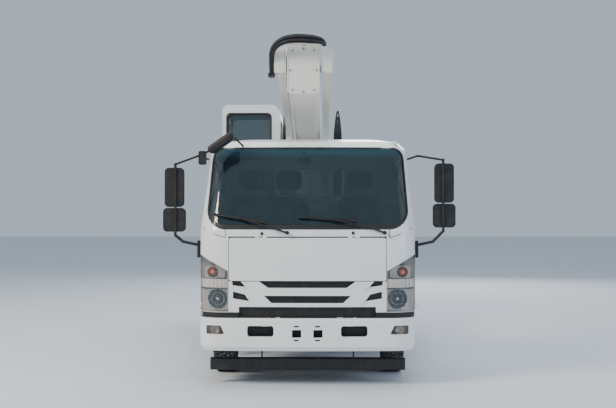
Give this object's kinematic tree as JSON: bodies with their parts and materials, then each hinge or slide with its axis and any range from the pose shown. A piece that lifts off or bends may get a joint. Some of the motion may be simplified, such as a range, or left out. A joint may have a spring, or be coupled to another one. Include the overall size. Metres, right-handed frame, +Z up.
{
  "type": "cherry picker truck",
  "caption": "Forward-control light truck with outriggers and a slewing turret, carrying an operator's cabin, a parallelogram riser, a telescopic boom and a work basket.",
  "frame": {"origin": "on the ground in the middle of the overall length and width", "axes": "+Z up, front of the truck towards -Y, +X towards the driver's side (the truck's left)"},
  "size_m": [2.766, 7.6, 3.3786],
  "materials": {
    "cab_paint": "satin",
    "boom_paint": "satin",
    "frame_paint": "satin",
    "deck_plate": "tread plate",
    "rim_paint": "satin",
    "tyre": "matt",
    "glass": "clear tinted",
    "black_plastic": "grained",
    "white_plastic": "gloss",
    "lamp": "clear",
    "red_lamp": "gloss",
    "seat": "woven",
    "steel": "satin",
    "chrome_rod": "polished",
    "cast": "rough",
    "rubber_hose": "matt",
    "aluminium_rail": "satin"
  },
  "bodies": {
    "chassis": {"chassis_frame": "frame_paint", "engine_block": "cast", "front_axle": "frame_paint", "rear_axle": "frame_paint", "exhaust": "steel", "fuel_tank": "frame_paint", "side_lockers": "frame_paint", "underrun_guards": "frame_paint", "rear_lamps": "red_lamp", "rear_mudguards": "black_plastic", "subframe": "frame_paint", "deck": "deck_plate", "cab_shell": "cab_paint", "cab_glass": "glass", "dashboard": "black_plastic", "cab_seats": "seat", "front_bumper": "white_plastic", "grille": "cab_paint", "headlamps": "lamp", "wipers": "black_plastic", "mirrors": "black_plastic"},
    "left_knuckle": {"left_knuckle": "cast"},
    "right_knuckle": {"right_knuckle": "cast"},
    "front_left_wheel": {"front_left_tyre": "tyre", "front_left_rim": "rim_paint"},
    "front_right_wheel": {"front_right_tyre": "tyre", "front_right_rim": "rim_paint"},
    "rear_left_wheels": {"rear_left_tyres": "tyre", "rear_left_rims": "rim_paint"},
    "rear_right_wheels": {"rear_right_tyres": "tyre", "rear_right_rims": "rim_paint"},
    "left_door": {"left_door": "cab_paint", "left_door_glass": "glass"},
    "right_door": {"right_door": "cab_paint", "right_door_glass": "glass"},
    "front_lid": {"front_lid": "cab_paint"},
    "left_outrigger": {"left_outrigger_beam": "frame_paint"},
    "right_outrigger": {"right_outrigger_beam": "frame_paint"},
    "front_left_foot": {"front_left_jack_foot": "steel"},
    "front_right_foot": {"front_right_jack_foot": "steel"},
    "rear_left_foot": {"rear_left_jack_foot": "steel"},
    "rear_right_foot": {"rear_right_jack_foot": "steel"},
    "turret": {"turret_frame": "boom_paint", "operator_cab": "cab_paint", "operator_cab_glass": "glass", "operator_seat": "black_plastic"},
    "operator_door": {"operator_door": "cab_paint"},
    "riser_arms": {"riser_arms": "boom_paint"},
    "riser_links": {"riser_links": "boom_paint"},
    "knuckle": {"knuckle_block": "boom_paint", "knuckle_hoses": "rubber_hose"},
    "boom_outer": {"boom_outer": "boom_paint"},
    "boom_middle": {"boom_middle": "boom_paint"},
    "boom_inner": {"boom_inner": "boom_paint"},
    "basket_head": {"basket_head": "boom_paint"},
    "basket": {"basket": "aluminium_rail"},
    "riser_barrel": {"riser_barrel": "boom_paint"},
    "riser_rod": {"riser_rod": "chrome_rod"},
    "luff_barrel": {"luff_barrel": "boom_paint"},
    "luff_rod": {"luff_rod": "chrome_rod"}
  },
  "joints": [
    {"name": "steer_left", "type": "hinge", "parent": "chassis", "child": "left_knuckle", "pos_m": [0.7, -2.69, 0.383], "axis": [0, 0, 1], "range_deg": [-38, 38]},
    {"name": "front_left_spin", "type": "hinge", "parent": "left_knuckle", "child": "front_left_wheel", "pos_m": [0.84, -2.69, 0.383], "axis": [1, 0, 0], "continuous": true},
    {"name": "rear_left_spin", "type": "hinge", "parent": "chassis", "child": "rear_left_wheels", "pos_m": [0.825, 1.125, 0.383], "axis": [1, 0, 0], "continuous": true},
    {"name": "left_door_hinge", "type": "hinge", "parent": "chassis", "child": "left_door", "pos_m": [1.017, -3.3726, 1.2], "axis": [0, 0, -1], "range_deg": [0, 70]},
    {"name": "steer_right", "type": "hinge", "parent": "chassis", "child": "right_knuckle", "pos_m": [-0.7, -2.69, 0.383], "axis": [0, 0, 1], "range_deg": [-38, 38]},
    {"name": "front_right_spin", "type": "hinge", "parent": "right_knuckle", "child": "front_right_wheel", "pos_m": [-0.84, -2.69, 0.383], "axis": [1, 0, 0], "continuous": true},
    {"name": "rear_right_spin", "type": "hinge", "parent": "chassis", "child": "rear_right_wheels", "pos_m": [-0.825, 1.125, 0.383], "axis": [1, 0, 0], "continuous": true},
    {"name": "right_door_hinge", "type": "hinge", "parent": "chassis", "child": "right_door", "pos_m": [-1.017, -3.3726, 1.2], "axis": [0, 0, 1], "range_deg": [0, 70]},
    {"name": "front_lid_hinge", "type": "hinge", "parent": "chassis", "child": "front_lid", "pos_m": [0, -3.72, 1.368], "axis": [-1, 0, 0], "range_deg": [0, 65]},
    {"name": "left_outrigger_slide", "type": "slide", "parent": "chassis", "child": "left_outrigger", "axis": [1, 0, 0], "range_m": [0, 0.65]},
    {"name": "front_left_jack", "type": "slide", "parent": "left_outrigger", "child": "front_left_foot", "axis": [0, 0, -1], "range_m": [0, 0.4]},
    {"name": "rear_left_jack", "type": "slide", "parent": "chassis", "child": "rear_left_foot", "axis": [0, 0, -1], "range_m": [0, 0.4]},
    {"name": "right_outrigger_slide", "type": "slide", "parent": "chassis", "child": "right_outrigger", "axis": [-1, 0, 0], "range_m": [0, 0.65]},
    {"name": "front_right_jack", "type": "slide", "parent": "right_outrigger", "child": "front_right_foot", "axis": [0, 0, -1], "range_m": [0, 0.4]},
    {"name": "rear_right_jack", "type": "slide", "parent": "chassis", "child": "rear_right_foot", "axis": [0, 0, -1], "range_m": [0, 0.4]},
    {"name": "slew", "type": "hinge", "parent": "chassis", "child": "turret", "pos_m": [0, 1.1, 1.15], "axis": [0, 0, 1], "continuous": true},
    {"name": "operator_door_hinge", "type": "hinge", "parent": "turret", "child": "operator_door", "pos_m": [-1.186, 0.6874, 2], "axis": [0, 0, 1], "range_deg": [0, 90]},
    {"name": "riser", "type": "hinge", "parent": "turret", "child": "riser_arms", "pos_m": [-0.045, 1.1, 2.4], "axis": [-1, 0, 0], "range_deg": [0, 70]},
    {"name": "riser_link_foot", "type": "hinge", "parent": "turret", "child": "riser_links", "pos_m": [-0.045, 1.224, 2.516], "axis": [-1, 0, 0], "range_deg": [0, 70]},
    {"name": "riser_head", "type": "hinge", "parent": "riser_arms", "child": "knuckle", "pos_m": [-0.045, -2.95, 3.06], "axis": [-1, 0, 0], "range_deg": [-70, 0]},
    {"name": "luff", "type": "hinge", "parent": "knuckle", "child": "boom_outer", "pos_m": [-0.045, -3.01999, 3.02308], "axis": [1, 0, 0], "range_deg": [0, 75]},
    {"name": "telescope_middle", "type": "slide", "parent": "boom_outer", "child": "boom_middle", "axis": [0, 0.9945, -0.1045], "range_m": [0, 3.6]},
    {"name": "telescope_inner", "type": "slide", "parent": "boom_middle", "child": "boom_inner", "axis": [0, 0.9945, -0.1045], "range_m": [0, 3.6]},
    {"name": "basket_level", "type": "hinge", "parent": "boom_inner", "child": "basket_head", "pos_m": [-0.045, 2.59806, 2.4326], "axis": [1, 0, 0], "range_deg": [-75, 0]},
    {"name": "basket_swing", "type": "hinge", "parent": "basket_head", "child": "basket", "pos_m": [-0.045, 2.9, 1.9], "axis": [0, 0, 1], "range_deg": [-85, 85]},
    {"name": "riser_cylinder_foot", "type": "hinge", "parent": "turret", "child": "riser_barrel", "pos_m": [-0.045, 0.52, 1.34], "axis": [-1, 0, 0], "range_deg": [0, 34.17]},
    {"name": "riser_rod_slide", "type": "slide", "parent": "riser_barrel", "child": "riser_rod", "axis": [0, -0.4926, 0.8703], "range_m": [0, 0.95817]},
    {"name": "luff_cylinder_foot", "type": "hinge", "parent": "knuckle", "child": "luff_barrel", "pos_m": [-0.045, -3.16999, 3.26708], "axis": [1, 0, 0], "range_deg": [0, 75.79]},
    {"name": "luff_rod_slide", "type": "slide", "parent": "luff_barrel", "child": "luff_rod", "axis": [0, -0.9977, 0.0681], "range_m": [0, 0.34862]}
  ],
  "couplings": [
    {"joint": "steer_right", "follows": "steer_left", "ratio": 1},
    {"joint": "riser_link_foot", "follows": "riser", "ratio": 1},
    {"joint": "riser_head", "follows": "riser", "ratio": -1},
    {"joint": "riser_cylinder_foot", "follows": "riser", "ratio": 0.48802},
    {"joint": "riser_rod_slide", "follows": "riser", "m_per_rad": 0.78411},
    {"joint": "telescope_inner", "follows": "telescope_middle", "ratio": 1},
    {"joint": "basket_level", "follows": "luff", "ratio": -1},
    {"joint": "luff_cylinder_foot", "follows": "luff", "ratio": 1.0105},
    {"joint": "luff_rod_slide", "follows": "luff", "m_per_rad": 0.26617}
  ]
}
